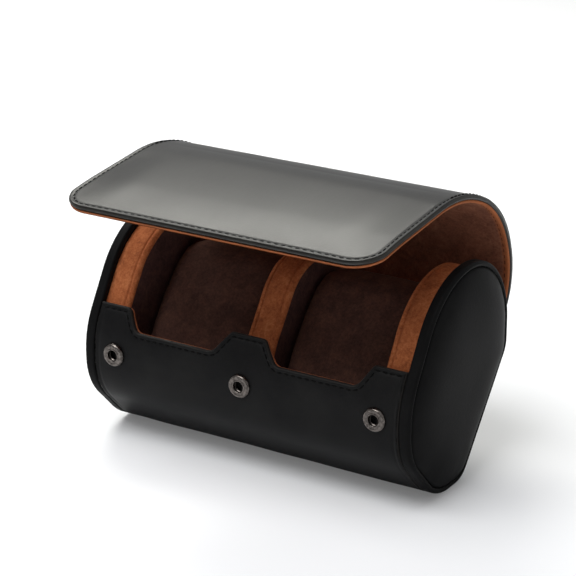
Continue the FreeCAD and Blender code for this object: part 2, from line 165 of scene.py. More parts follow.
def rounded(corners, radii, step, closed=True):
    """Points along a polygon with rounded corners, about one step apart."""
    points = np.array(corners, float)
    count = len(points)
    found = []
    for index in range(count):
        corner = points[index]
        if not closed and index in (0, count - 1):
            found.append([corner])
            continue
        back = unit(points[index - 1] - corner)
        ahead = unit(points[(index + 1) % count] - corner)
        half = math.acos(np.clip(np.dot(back, ahead), -1, 1)) / 2
        radius = radii[index]
        if radius <= 0 or half > 1.57:
            found.append([corner])
            continue
        reach = radius / math.tan(half)
        start, end = corner + back * reach, corner + ahead * reach
        centre = corner + unit(back + ahead) * radius / math.sin(half)
        pieces = max(3, int(radius * (math.pi - 2 * half) / step) + 1)
        a, b = start - centre, end - centre
        whole = math.pi - 2 * half
        arc = []
        for k in range(pieces + 1):
            f = k / pieces
            arc.append(centre + (a * math.sin((1 - f) * whole) + b * math.sin(f * whole)) / math.sin(whole))
        found.append(arc)
    line = []
    for index in range(count):
        line += found[index]
        if closed or index < count - 1:
            start, end = found[index][-1], found[(index + 1) % count][0]
            gaps = max(1, int(np.linalg.norm(end - start) / step))
            line += [start + (end - start) * k / gaps for k in range(1, gaps)]
    return np.array(line)


def inset_loop(corners, radii, distance, least, step):
    """A rounded outline moved inward, with no corner radius under the least."""
    return rounded(inset_corners(corners, distance), [max(r - distance, least) for r in radii], step)


def quarter(x, inset, reach_x, reach_inset, first, last, count):
    """(x, inset) points along an arc, whose angle is 0 at the least inset."""
    turns = np.radians(np.linspace(first, last, count))
    return [(x + reach_x * math.sin(a), inset - reach_inset * math.cos(a)) for a in turns]


def loop_normals(points):
    """Outward normals of a counter-clockwise closed loop."""
    return to_right(unit(np.roll(points, -1, axis=0) - np.roll(points, 1, axis=0)))


def lengths_along(points):
    """Length from the first point to each."""
    return np.concatenate([[0], np.cumsum(np.linalg.norm(np.diff(points, axis=0), axis=1))])


class Path:
    """A curve in the end view, measured along its length."""

    def __init__(self, points, side):
        self.points = points[np.diff(lengths_along(points), prepend=-1) > 1e-6]
        self.length = lengths_along(self.points)
        self.ahead = unit(np.gradient(self.points, self.length, axis=0))
        self.side = side

    def at(self, s):
        """Position, direction and outward normal at lengths s, as (..., 3) arrays with x zero."""
        zero = np.zeros(np.shape(s))
        y = np.interp(s, self.length, self.points[:, 0])
        z = np.interp(s, self.length, self.points[:, 1])
        ty = np.interp(s, self.length, self.ahead[:, 0])
        tz = np.interp(s, self.length, self.ahead[:, 1])
        ahead = unit(np.stack([zero, ty, tz], axis=-1))
        out = np.stack([zero, ahead[..., 2] * self.side, -ahead[..., 1] * self.side], axis=-1)
        return np.stack([zero, y, z], axis=-1), ahead, out

    def place(self, x, s, height):
        """Points at x and length s, a height above the curve's face."""
        at, ahead, out = self.at(s)
        at[..., 0] = x
        return at + out * np.asarray(height)[..., None]


def arc_path(start, heading, pieces):
    """Points along arcs of (radius, turn in degrees)."""
    points = [np.array(start, float)]
    angle = math.radians(heading)
    for radius, turn in pieces:
        count = max(2, int(radius * math.radians(turn) / PATH_STEP))
        centre = points[-1] + radius * np.array([-math.sin(angle), math.cos(angle)])
        for k in range(1, count + 1):
            now = angle + math.radians(turn) * k / count
            points.append(centre + radius * np.array([math.sin(now), -math.cos(now)]))
        angle += math.radians(turn)
    return points, angle


def arc_length(pieces):
    return sum(radius * math.radians(turn) for radius, turn in pieces)


# The outer leather runs from low on the back, up over the hinge and along the flap, which is
# straight past its arcs and curls in slightly at its free end.
lid_points, lid_angle = arc_path(HINGE, LID_HEADING, LID_BACK + LID_TOP)
way = np.array([math.cos(lid_angle), math.sin(lid_angle)])
inward = np.array([-way[1], way[0]])
tail = []
for k in range(1, 201):
    run = (LID_APRON + LID_STRIP) * k / 200
    curl = CURL * max(0.0, (run - LID_APRON - CURL_START) / (LID_STRIP - CURL_START)) ** 1.5
    tail.append(lid_points[-1] + way * run + inward * curl)
back_line = rounded([BASE_BACK, BACK_CORNER, (BACK_Y, 70.0)], [0, 11.0, 0], PATH_STEP, closed=False)
back_line = back_line[(back_line[:, 1] > BACK_START_Z) & (back_line[:, 1] < HINGE[1])]
whole = np.array(list(back_line) + lid_points + tail)

# The kink at the hinge is rounded into a bend.
lengths = Path(whole, 1).length
kink_s = lengths[len(back_line)]
before, after = whole[lengths < kink_s - BEND_REACH], whole[lengths > kink_s + BEND_REACH]
bend = []
for f in np.arange(1, 40) / 40:
    bend.append(before[-1] * (1 - f) ** 2 + np.array(HINGE) * 2 * f * (1 - f) + after[0] * f ** 2)
back_path = Path(np.array(list(before) + bend + list(after)), 1)
lid_end_s = back_path.length[-1]
strip_s = lid_end_s - LID_STRIP
fold_s = strip_s - LID_APRON - arc_length(LID_TOP)
hinge_s = fold_s - arc_length(LID_BACK)

# The body's leather runs from the same place down the back, under the case and up the front.
round_line = rounded(CASE_CORNERS, CASE_RADII, PATH_STEP)[::-1]
start_row = int(np.argmin(np.linalg.norm(round_line - whole[0], axis=1)))
front_line = np.roll(round_line, -start_row, axis=0)
front_path = Path(front_line[: int(len(front_line) * FRONT_SHARE)], -1)


# Mesh making

def shade_smooth(mesh):
    mesh.polygons.foreach_set("use_smooth", [True] * len(mesh.polygons))


def add_mesh(name, points, faces, material):
    """A new object from points in millimetres."""
    mesh = bpy.data.meshes.new(name)
    mesh.from_pydata((np.asarray(points) * MM).tolist(), [], [list(map(int, f)) for f in faces])
    mesh.update()
    shade_smooth(mesh)
    mesh.materials.append(material)
    made = bpy.data.objects.new(name, mesh)
    bpy.context.scene.collection.objects.link(made)
    return made


def grid_faces(rows, columns, start=0, flip=False, wrap=False):
    """Quads of a grid whose points run along its columns first."""
    found = []
    for r in range(rows - 1):
        for c in range(columns if wrap else columns - 1):
            d = (c + 1) % columns
            quad = (r * columns + c, r * columns + d, (r + 1) * columns + d, (r + 1) * columns + c)
            found.append(tuple(start + v for v in (quad[::-1] if flip else quad)))
    return found


def edge_distance(flat, edge):
    """Distance of each flat point from a line of flat points."""
    a, b = edge[:-1], edge[1:]
    run = b - a
    size = np.maximum((run ** 2).sum(axis=1), 1e-9)
    flat_list = flat.reshape(-1, 2)
    found = np.full(len(flat_list), 1e9)
    for start in range(0, len(flat_list), 2000):
        part = flat_list[start:start + 2000, None, :] - a[None]
        t = np.clip((part * run[None]).sum(axis=2) / size[None], 0, 1)
        gap = np.linalg.norm(part - run[None] * t[..., None], axis=2)
        found[start:start + 2000] = gap.min(axis=1)
    return found.reshape(flat.shape[:-1])


def border_order(rows, columns):
    """(row, column) of a grid's border points, in order round it."""
    order = [(0, c) for c in range(columns)] + [(r, columns - 1) for r in range(1, rows)]
    order += [(rows - 1, c) for c in range(columns - 2, -1, -1)]
    return order + [(r, 0) for r in range(rows - 2, 0, -1)]


def edge_runs(loop, cut_ahead):
    """The stretches of a border loop that are real edges, without the plain cuts."""
    runs, run = [], []
    for k in range(len(loop) + 1):
        index = k % len(loop)
        run.append(loop[index])
        if cut_ahead[index] or k == len(loop):
            if len(run) > 1:
                runs.append(np.array(run))
            run = []
    return runs


def no_relief(x, s, edge):
    return np.zeros(np.shape(x))


def sheet_piece(
    name, path, flat, cut_rows, depth, thickness, roll, material, relief=no_relief, inner=no_relief,
):
    """A bent sheet with rolled edges. flat is a (rows, columns, 2) grid of (x, length) whose border is
    the sheet's own edge; cut_rows says whether the first and the last row are plain cuts that go on in
    another piece. depth is from the path to the sheet's outer face, and roll is its edges' radius.
    relief and inner raise the two faces, by the distance from the edge too."""
    rows, columns = flat.shape[:2]
    order = border_order(rows, columns)
    loop = np.array([flat[r, c] for r, c in order])
    count = len(loop)
    cut = np.zeros(count, bool)
    for k, (r, c) in enumerate(order):
        cut[k] = (cut_rows[0] and r == 0) or (cut_rows[1] and r == rows - 1)
    ahead = unit(np.roll(loop, -1, axis=0) - loop)
    behind = unit(loop - np.roll(loop, 1, axis=0))
    cut_ahead = cut & np.roll(cut, -1)
    cut_behind = cut & np.roll(cut, 1)
    out = unit(to_right(ahead) * (~cut_ahead)[:, None] + to_right(behind) * (~cut_behind)[:, None])
    out[cut_ahead & cut_behind] = 0
    area = 0.5 * np.sum(loop[:, 0] * np.roll(loop[:, 1], -1) - np.roll(loop[:, 0], -1) * loop[:, 1])
    if area < 0:
        out = -out

    # The two faces, which stop a roll's radius inside the real edges
    distance = np.full(flat.shape[:2], 1e9)
    for edge in edge_runs(loop, cut_ahead):
        distance = np.minimum(distance, edge_distance(flat, edge))
    bounded = flat.copy()
    for k, (r, c) in enumerate(order):
        bounded[r, c] = loop[k] - out[k] * roll
        if not (cut_ahead[k] and cut_behind[k]):
            distance[r, c] = roll
    lift = relief(bounded[..., 0], bounded[..., 1], distance)
    sink = inner(bounded[..., 0], bounded[..., 1], distance)
    outer_points = path.place(bounded[..., 0], bounded[..., 1], lift - depth)
    inner_points = path.place(bounded[..., 0], bounded[..., 1], -sink - depth - thickness)

    # Rings of points round the rolled edge: reach outward, depth, and share of the outer relief
    border = np.array([bounded[r, c] for r, c in order])
    border_lift = np.array([lift[r, c] for r, c in order])
    at, direction, normal = path.at(border[:, 1])
    at[:, 0] = border[:, 0]
    sideways = direction * out[:, 1:2]
    sideways[:, 0] = out[:, 0]
    turns = [(k / 4, math.radians(90) * k / 4) for k in range(5)]
    rings = [(roll * math.sin(a), depth + roll * (1 - math.cos(a)), 1 - f) for f, a in turns[1:]]
    rings += [(roll * math.cos(a), depth + thickness - roll + roll * math.sin(a), 0) for f, a in turns[:-1]]
    points = [outer_points.reshape(-1, 3)]
    marks = [distance.reshape(-1)]
    for reach, down, share in rings:
        points.append(at + sideways * reach - normal * (down - border_lift * share)[:, None])
        marks.append(np.zeros(count))
    points.append(inner_points.reshape(-1, 3))
    marks.append(distance.reshape(-1) + thickness)

    # The outer face, the inner face and the bands between the rings
    faces = grid_faces(rows, columns)
    first = rows * columns
    inner_first = first + len(rings) * count
    faces += grid_faces(rows, columns, start=inner_first, flip=True)
    outer_loop = [r * columns + c for r, c in order]
    chain = [outer_loop] + [[first + k * count + i for i in range(count)] for k in range(len(rings))]
    chain.append([inner_first + v for v in outer_loop])
    for a, b in zip(chain[:-1], chain[1:]):
        for k in range(count):
            m = (k + 1) % count
            faces.append((a[m], a[k], b[k], b[m]))
    made = add_mesh(name, np.concatenate(points), faces, material)
    if (path.side > 0) == (area > 0):
        made.data.flip_normals()

    # Plain cuts keep sharp corners, and every point carries its distance from the real edges.
    on_cut = np.concatenate([[False] * first, np.tile(cut, len(rings)), [False] * first])
    on_cut[outer_loop] = cut
    on_cut[[inner_first + v for v in outer_loop]] = cut
    ends = np.zeros(len(made.data.edges) * 2, int)
    made.data.edges.foreach_get("vertices", ends)
    made.data.edges.foreach_set("use_edge_sharp", on_cut[ends].reshape(-1, 2).all(axis=1))
    edge_mark = made.data.attributes.new("edge", "FLOAT", "POINT")
    edge_mark.data.foreach_set("value", np.concatenate(marks).astype(float))
    return made


def stitches(name, centres, alongs, normals, material, length=2.6, radius=0.3):
    """Short bowed stitches at points, each along its own direction."""
    points, faces = [], []
    around = 6
    shape = [(-1.0, 0.25), (-0.86, 0.75), (-0.45, 1.0), (0.45, 1.0), (0.86, 0.75), (1.0, 0.25)]
    for at, along, normal in zip(centres, alongs, normals):
        across = np.cross(normal, along)
        first = len(points)
        for reach, share in shape:
            bow = -0.22 * reach ** 4
            for k in range(around):
                a = 2 * math.pi * k / around
                side = across * math.cos(a) * radius * 1.15 + normal * math.sin(a) * radius
                points.append(at + along * reach * length / 2 + side * share + normal * bow)
        faces += grid_faces(len(shape), around, start=first, wrap=True)
        faces.append(range(first, first + around)[::-1])
        faces.append(range(len(points) - around, len(points)))
    return add_mesh(name, points, faces, material)


def stitch_places(line, pitch):
    """Evenly spaced points on a flat line, about a pitch apart, and the line's steps there."""
    s = lengths_along(line)
    count = int(s[-1] / pitch)
    centres = (np.arange(count) + 0.5) * s[-1] / count

    def at(places):
        return np.column_stack([np.interp(places, s, line[:, 0]), np.interp(places, s, line[:, 1])])
    return at(centres), at(centres + 0.5) - at(centres - 0.5)


def sewn(name, path, line, height, material, under=False):
    """Stitches along a line of flat points (x, length), a height above the path's face."""
    places, steps = stitch_places(line, STITCH_PITCH)
    at, direction, normal = path.at(places[:, 1])
    at[:, 0] = places[:, 0]
    along = direction * steps[:, 1:]
    along[:, 0] = steps[:, 0]
    return stitches(name, at + normal * height, unit(along), -normal if under else normal, material)


def loop_stitches(name, loop, x, inset, side, material):
    """Stitches round a loop of the end view, lying on an end face."""
    ring = loop - loop_normals(loop) * inset
    places, steps = stitch_places(np.concatenate([ring, ring[:1]]), RIM_PITCH)
    flat = np.zeros(len(places))
    at = np.column_stack([flat + x * side, places])
    along = unit(np.column_stack([flat, steps]))
    outward = np.column_stack([flat + side, flat, flat])
    return stitches(name, at, along, outward, material, length=2.3, radius=0.22)


def swept(name, loop, profile, material, mirror=1, closed=False, flip=False, seed=None, inside=None):
    """A profile of (x, inset) points carried round a closed loop of the end view. With closed the
    profile is a ring, and otherwise its last point's loop is filled in towards the middle. flip is
    for a profile whose faces would look inward, and a seed makes the surface slightly uneven.
    inside is (points, material): the material of the faces at the profile's last points."""
    normals = loop_normals(loop)
    count = len(loop)
    points = []
    for row, (x, inset) in enumerate(profile):
        ring = loop - normals * inset
        if seed is not None:
            ring = ring + normals * (0.16 * wander(loop[:, 0] + row * 0.7, loop[:, 1], 9.0, seed))[:, None]
        points.append(np.column_stack([np.full(count, x * mirror), ring]))
    if not closed:
        last = points[-1]
        for scale in (0.93, 0.85, 0.76, 0.66, 0.55, 0.42, 0.28, 0.14):
            points.append(np.column_stack([last[:, 0], MIDDLE + (last[:, 1:] - MIDDLE) * scale]))
    faces = grid_faces(len(points), count, wrap=True)
    last_row = (len(points) - 1) * count
    if closed:
        for c in range(count):
            d = (c + 1) % count
            faces.append((last_row + c, last_row + d, d, c))
    else:
        faces.append(range(last_row, last_row + count))
    made = add_mesh(name, np.concatenate(points), faces, material)
    if inside is not None:
        made.data.materials.append(inside[1])
        for face in made.data.polygons[(len(profile) - inside[0]) * count:]:
            face.material_index = 1
    if flip != (mirror < 0):
        made.data.flip_normals()
    return made


def turned(name, profile, centre, material, count=64):
    """A profile of (radius, height) turned about an axis along -Y."""
    points = []
    for radius, height in profile:
        for k in range(count):
            a = 2 * math.pi * k / count
            across, up = radius * math.cos(a), radius * math.sin(a)
            points.append((centre[0] + across, centre[1] - height, centre[2] + up))
    made = add_mesh(name, points, grid_faces(len(profile), count, wrap=True), material)
    made.data.flip_normals()
    return made


# Materials

def new_material(name):
    made = bpy.data.materials.new(name)
    made.use_nodes = True
    return made, made.node_tree, made.node_tree.nodes["Principled BSDF"]


def feed(tree, node, inputs):
    """Set a node's inputs, each to a value or to another node's output."""
    for key, value in inputs.items():
        if isinstance(value, bpy.types.NodeSocket):
            tree.links.new(value, node.inputs[key])
        else:
            node.inputs[key].default_value = value


def add_node(tree, kind, inputs, output=0, **settings):
    """One output of a new node."""
    made = tree.nodes.new("ShaderNode" + kind)
    for key, value in settings.items():
        setattr(made, key, value)
    feed(tree, made, inputs)
    return made.outputs[output]


def ramp(tree, value, stops):
    """The colour at a value, from (position, grey or colour) stops."""
    found = add_node(tree, "ValToRGB", {0: value})
    elements = found.node.color_ramp.elements
    while len(elements) < len(stops):
        elements.new(0.5)
    for element, (position, colour) in zip(elements, stops):
        element.position = position
        if isinstance(colour, float):
            colour = (colour, colour, colour)
        element.color = (*colour, 1)
    return found


def bump(tree, height, strength, distance, under=None):
    """The normal of a bump, which may lie over another bump's."""
    inputs = {"Height": height, "Strength": strength, "Distance": distance}
    if under is not None:
        inputs["Normal"] = under
    return add_node(tree, "Bump", inputs)


def linear(levels, share=1.0):
    """A colour from its picture levels, each from 10 to 255, darkened to a share of itself."""
    return tuple(((v / 255 + 0.055) / 1.055) ** 2.4 * share for v in levels)


def noise_node(tree, vector, scale, detail, roughness=0.5, output=0):
    """Noise in finer and finer layers, placed by a vector."""
    inputs = {"Vector": vector, "Scale": scale, "Detail": detail, "Roughness": roughness}
    return add_node(tree, "TexNoise", inputs, output)


def near_edge(tree, far, near):
    """1 within the near distance of a sheet's edge, falling to 0 at the far one."""
    mark = add_node(tree, "Attribute", {}, "Fac", attribute_name="edge")
    return add_node(tree, "MapRange", {"Value": mark, "From Min": far, "From Max": near})


def leather_material(name, dark, light, wear=None, shine=0.07, smoothest=0.36, grain=0.22, streaks=0.0):
    """Fine-grained smooth leather: small pebbles, shallow creases and, in the colour wear, rubbed
    edges. streaks makes its gloss uneven in fine lines."""
    made, tree, shader = new_material(name)
    place = add_node(tree, "TexCoord", {}, "Object")
    clouds = noise_node(tree, place, 45.0, 5.0, 0.6)
    colour = ramp(tree, clouds, [(0.3, linear(dark)), (0.7, linear(light))])
    if wear:
        uneven = add_node(tree, "Math", {0: near_edge(tree, 1.1, 0.2), 1: clouds}, operation="MULTIPLY")
        colour = add_node(tree, "MixRGB", {0: uneven, 1: colour, 2: (*linear(wear), 1)})
    gloss = add_node(tree, "MapRange", {"Value": clouds, "To Min": smoothest, "To Max": smoothest + 0.12})
    drawn = add_node(tree, "Mapping", {"Vector": place, "Scale": (1.0, 0.1, 0.1)})
    lines = noise_node(tree, drawn, 850.0, 3.0, 0.7)
    rough = add_node(tree, "Math", {0: lines, 1: streaks, 2: gloss}, operation="MULTIPLY_ADD")
    warp = noise_node(tree, place, 300.0, 2.0, output="Color")
    shifted = add_node(tree, "MixRGB", {0: 0.004, 1: place, 2: warp})
    pressed = add_node(tree, "Mapping", {"Vector": shifted, "Scale": (1.0, 0.35, 0.8)})
    cells = {"Vector": pressed, "Scale": 1500.0, "Smoothness": 0.6}
    pebbles = add_node(tree, "TexVoronoi", cells, feature="SMOOTH_F1")
    cells = {"Vector": shifted, "Scale": 620.0}
    creases = add_node(tree, "TexVoronoi", cells, "Distance", feature="DISTANCE_TO_EDGE")
    normal = bump(tree, ramp(tree, creases, [(0.0, 0.0), (0.12, 1.0)]), grain / 2, 0.00015)
    normal = bump(tree, pebbles, grain, 0.00012, normal)
    feed(tree, shader, {
        "Base Color": colour, "Roughness": rough, "Specular IOR Level": shine, "Normal": normal,
    })
    return made


def suede_material(name, dark, mid, light, border=None):
    """Napped suede: mottled by the direction of its nap, dull, with a soft pale sheen. border is a lighter
    colour painted within a few millimetres of a sheet's edge: painted light on the lit turned edge."""
    made, tree, shader = new_material(name)
    place = add_node(tree, "TexCoord", {}, "Object")
    nap = noise_node(tree, place, 900.0, 6.0, 0.75)
    patches = noise_node(tree, place, 150.0, 4.0, 0.65)
    feed(tree, patches.node, {"Distortion": 0.6})
    mottle = add_node(tree, "MixRGB", {0: 0.45, 1: nap, 2: patches})
    colour = ramp(tree, mottle, [(0.34, linear(dark)), (0.5, linear(mid)), (0.68, linear(light))])
    # A lighter border painted near the edge: painted light, where light falls on the turned edge.
    if border:
        painted_lit_edge = ramp(tree, mottle, [(0.34, linear(border, 0.7)), (0.6, linear(border))])
        colour = add_node(tree, "MixRGB", {0: near_edge(tree, 4.6, 3.4), 1: colour, 2: painted_lit_edge})
    feed(tree, shader, {
        "Base Color": colour, "Roughness": 0.95, "Specular IOR Level": 0.12, "Sheen Weight": 0.25,
        "Sheen Roughness": 0.5, "Sheen Tint": (*linear(light), 1), "Normal": bump(tree, mottle, 0.5, 0.00022),
    })
    return made


def metal_material(name, colour, roughness):
    """Darkened metal with a little uneven tarnish."""
    made, tree, shader = new_material(name)
    place = add_node(tree, "TexCoord", {}, "Object")
    tarnish = noise_node(tree, place, 700.0, 4.0)
    limits = {"To Min": roughness * 0.8, "To Max": roughness * 1.25}
    feed(tree, shader, {
        "Base Color": ramp(tree, tarnish, [(0.38, linear(colour, 0.45)), (0.62, linear(colour))]),
        "Metallic": 1.0, "Roughness": add_node(tree, "MapRange", {"Value": tarnish, **limits}),
        "Normal": bump(tree, tarnish, 0.2, 0.0001),
    })
    return made


def fibre_material(name, colour):
    """Fine, dull fibres: waxed thread, and the board and foam inside the case."""
    made, tree, shader = new_material(name)
    place = add_node(tree, "TexCoord", {}, "Object")
    twist = noise_node(tree, place, 2500.0, 2.0)
    feed(tree, shader, {
        "Base Color": ramp(tree, twist, [(0.3, linear(colour, 0.6)), (0.7, linear(colour))]),
        "Roughness": 0.8, "Specular IOR Level": 0.1, "Normal": bump(tree, twist, 0.3, 0.0001),
    })
    return made


black_leather = leather_material("black_leather", (18, 18, 19), (27, 27, 27), (48, 46, 44))
smooth_leather = leather_material("panel_leather", (15, 15, 16), (22, 22, 22), shine=0.035, smoothest=0.4)
flap_leather = leather_material(
    "flap_leather", (16, 16, 16), (24, 24, 23), (50, 48, 44),
    shine=0.26, smoothest=0.25, grain=0.1, streaks=0.07,
)
tan_suede = suede_material("tan_suede", (116, 64, 38), (164, 94, 57), (196, 124, 80))
# The body's lining: the tan suede painted darker, as painted shade inside the case.
lining_suede_painted_shade = suede_material("lining_suede_painted_shade", (100, 58, 40), (144, 84, 56), (176, 110, 76))
# The flap's lining: the same suede painted darker and greyer as painted shade under the flap, with a lighter
# border painted along its edges as painted light.
flap_suede_painted_light_and_shade = suede_material("flap_suede_painted_light_and_shade", (88, 55, 44), (124, 78, 60), (150, 102, 78), (172, 102, 65))
# The inner faces of the end walls and of the divider: the tan suede painted dark, as painted shade between
# them.
painted_shade_suede = suede_material("painted_shade_suede", (52, 36, 35), (74, 51, 48), (94, 66, 59))
# The cushions: the suede painted dark, as painted shade inside the case.
cushion_suede_painted_shade = suede_material("cushion_suede_painted_shade", (54, 37, 34), (78, 54, 47), (100, 70, 58))
nickel = metal_material("dark_nickel", (112, 106, 102), 0.22)
# The snap springs are painted dark, as painted shade inside the rings' holes.
spring_steel_painted_shade = metal_material("spring_steel_painted_shade", (50, 47, 45), 0.34)
black_thread = fibre_material("black_thread", (10, 10, 10))
tan_thread = fibre_material("lining_thread", (100, 60, 42))
pale_thread = fibre_material("rim_thread", (46, 46, 44))
board_material = fibre_material("board", (60, 52, 44))
foam_material = fibre_material("foam", (70, 66, 60))


# Outer leather of the back and the flap, in three lengths that each cross one bend

# Columns are FINE_STEP apart within FINE_BORDER of the side edges.
FINE_STEP = 0.55
COARSE_STEP = 1.9
FINE_BORDER = 6.0

# The lengths part this far past the hinge and past the fold.
BACK_SPLIT = 26.0
PANEL_SPLIT = 40.0

# The front panel's crown: its height, its place past the fold and its reach each way
CROWN = 1.6
CROWN_AT = 73.0
CROWN_REACH = 38.0


def side_columns(half):
    """x of a sheet's columns, close together beside its two side edges."""
    left = [0.0]
    while left[-1] < half - 1e-6:
        step = FINE_STEP if left[-1] < FINE_BORDER else COARSE_STEP
        left.append(min(half, left[-1] + step))
    if left[-1] - left[-2] < FINE_STEP * 0.4:
        del left[-2]
    left = np.array(left)
    return np.concatenate([left - half, (half - left)[::-1][1:]])


def strip_grid(low, high, half, corner, row_step):
    """A grid of (x, length) points of the flap, from low to high. corner rounds its front end."""
    if corner:
        straight = np.arange(low, high - corner, row_step)
        turns = np.radians(np.linspace(0, 90, 40))
        rows = np.concatenate([straight, high - corner + corner * np.sin(turns)])
        widths = np.concatenate([np.full(len(straight), half), half - corner + corner * np.cos(turns)])
    else:
        rows = np.linspace(low, high, int((high - low) / row_step) + 1)
        widths = np.full(len(rows), half)
    columns = side_columns(half)
    flat = np.zeros((len(rows), len(columns), 2))
    flat[..., 0] = columns / half * widths[:, None]
    flat[..., 1] = rows[:, None]
    return flat


def lid_relief(x, s, edge):
    """The flap's leather: padding that begins past the hinge, a crown on the front panel, a sunk
    stitch line, a fuller turned edge and a slow unevenness."""
    padding = 0.3 * smooth(hinge_s + 6.0, hinge_s + 34.0, s)
    shoulder = 0.8 * smooth(hinge_s + 6.0, hinge_s + 25.0, s) * (1 - smooth(fold_s - 24.0, fold_s + 4.0, s))
    bow = np.clip(1 - ((s - (fold_s + CROWN_AT)) / CROWN_REACH) ** 2, 0, 1)
    crown = CROWN * bow * smooth(0, 24.0, LID_X - np.abs(x))
    sunk = ridge(edge, STITCH_INSET, 0.55, -0.26)
    full = ridge(edge, 1.1, 0.7, 0.14)
    uneven = 0.07 * wander(x, s, 26.0, 3.1) * smooth(0, 14, edge)
    return padding + shoulder + crown + sunk + full + uneven


def lining_relief(x, s, edge):
    """The flap's lining: thicker away from the hinge, with a seam along its border."""
    padding = 0.25 * smooth(hinge_s + 6.0, hinge_s + 34.0, s)
    padding = padding * (1 - smooth(strip_s - 30.0, strip_s - 20.0, s)) * smooth(11.0, 17.0, edge)
    seam = ridge(edge, 2.6, 0.5, -0.3) + ridge(edge, 0.8, 1.0, 0.2)
    return padding + seam + 0.1 * wander(x, s, 17.0, 8.4) * smooth(0, 8, edge)


# Each length: its name, its ends, its two bodies, its bend, and how far the bend reaches each way
back_split, panel_split = hinge_s + BACK_SPLIT, fold_s + PANEL_SPLIT
parts = [
    ("back", 0.0, back_split, "case", "lid_back", hinge_s, 4.5, 4.5),
    ("crest", back_split, panel_split, "lid_back", "lid_panel", fold_s, 12.0, 12.0),
    ("front", panel_split, lid_end_s, "lid_panel", "lid_strip", strip_s, 7.0, 2.0),
]
for label, low, high, first_body, second_body, joint_s, reach_low, reach_high in parts:
    last = label == "front"
    cuts = (True, not last)
    corner, inset = (LID_CORNER, LINING_INSET) if last else (0, 0)
    flat = strip_grid(low, high, LID_X, corner, 0.8)
    skin = sheet_piece(
        "flap_leather_" + label, back_path, flat, cuts, 0, LID_SKIN, 1.0, flap_leather, lid_relief,
    )
    flat = strip_grid(low, high - inset, LID_X - LINING_INSET, corner - inset, 1.0)
    # The lining's suede carries painted shade and a painted lit border.
    lining = sheet_piece(
        "flap_lining_" + label, back_path, flat, cuts, LID_SKIN, LID_LINING, 0.5, flap_suede_painted_light_and_shade,
        inner=lining_relief,
    )

    # The stitch line follows the side edges and, on the front length, its rounded end.
    right = [(LID_X - STITCH_INSET, s) for s in np.arange(low, high - corner, 0.5)]
    if last:
        radius = corner - STITCH_INSET
        for a in np.radians(np.linspace(0, 90, 40)):
            right.append((LID_X - corner + radius * math.cos(a), high - corner + radius * math.sin(a)))
    left = [(-x, s) for x, s in right]
    threads = []
    for index, line in enumerate([right + left[::-1]] if last else [right, left]):
        line = np.array(line)
        seam = "stitches_%s_%d" % (label, index)
        lift = lid_relief(line[:, 0], line[:, 1], np.full(len(line), STITCH_INSET)).mean() + 0.05
        threads.append(sewn("flap_" + seam, back_path, line, lift, black_thread))
        lift = -LID_SKIN - LID_LINING + 0.2
        threads.append(sewn("lining_" + seam, back_path, line, lift, tan_thread, True))

    for piece in [skin, lining] + threads:
        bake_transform(piece)
    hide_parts(second_body + "_leather", second_body + "_board")
    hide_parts(second_body + "_lining")

tail_line = np.array([(STITCH_INSET - LID_X, 2.6), (0.0, 2.6), (LID_X - STITCH_INSET, 2.6)])
tail_stitches = sewn("flap_stitches_tail", back_path, tail_line, 0.05, black_thread)
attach(tail_stitches, "case")


# Body leather: under the case and up the front to the scalloped edge

# The grid's columns follow the scalloped edge, apart from a border at each side. Its rows are even
# up to BASE_GAP under the low edge, and then follow the scallops, at EDGE_GAPS near the edge.
BORDER_WIDTH = 6.5
BASE_GAP = 14.0
EDGE_WIDTH = 10.5
EDGE_GAPS = [9.0, 7.6, 6.4, 5.3, 4.4, 3.7, 3.15, 2.7, 2.3, 1.9, 1.45, 0.0]

front_z = front_path.points[:, 1]
rising = int(np.argmin(front_z)) + 1


def front_length(z):
    """Length along the front leather at which its face reaches a height on the front."""
    return np.interp(z, front_z[rising:], front_path.length[rising:])


def wall_grid(half, row_step):
    """A grid of (x, length) points of the body wall, and the line of its scalloped edge."""
    left = [(-RIM_FOOT_X, EDGE_TABLE[0][1], 0)] + [(-x, z, r) for x, z, r in EDGE_TABLE]
    table = left + [(-x, z, r) for x, z, r in left[::-1]]
    line = rounded([(x, z) for x, z, r in table], [r for x, z, r in table], 0.5, closed=False)
    line = line[np.abs(line[:, 0]) <= half + 1e-6]
    line = np.concatenate([[(-half, line[0, 1])], line, [(half, line[-1, 1])]])
    line = line[np.concatenate([[True], np.diff(line[:, 0]) > 1e-4])]
    border = side_columns(half)
    inner = half - BORDER_WIDTH
    middle = line[np.abs(line[:, 0]) < inner, 0]
    xs = np.concatenate([border[border < -inner], middle, border[border > inner]])
    tops = front_length(np.interp(xs, line[:, 0], line[:, 1]))
    base_top = front_length(EDGE_TABLE[1][1] - BASE_GAP)
    lengths = [np.full(len(xs), s) for s in np.arange(0.0, base_top, row_step)]
    lengths += [base_top + (tops - EDGE_WIDTH - base_top) * share for share in np.linspace(0, 1, 12)[1:-1]]
    lengths += [tops - gap for gap in EDGE_GAPS]
    return np.array([np.column_stack([xs, s]) for s in lengths]), np.column_stack([xs, tops])


def body_relief(x, s, edge):
    """The body's leather: its stitched edge, a slow unevenness, and behind each snap a recess for
    the stud. sideways is 0 at the middle snap and at the outer ones."""
    sunk = ridge(edge, STITCH_INSET, 0.55, -0.25)
    full = ridge(edge, 1.1, 0.7, 0.12)
    uneven = 0.16 * wander(x, s, 24.0, 5.7) * smooth(0, 12, edge)
    sideways = np.abs(np.abs(x) - SNAP_X / 2) - SNAP_X / 2
    from_snap = np.hypot(sideways, s - front_length(SNAP_Z))
    recess = STUD_RECESS * (1 - smooth(STUD_RADIUS, STUD_RADIUS + 1.0, from_snap))
    return (sunk + full) * smooth(62, 74, s) + uneven - recess


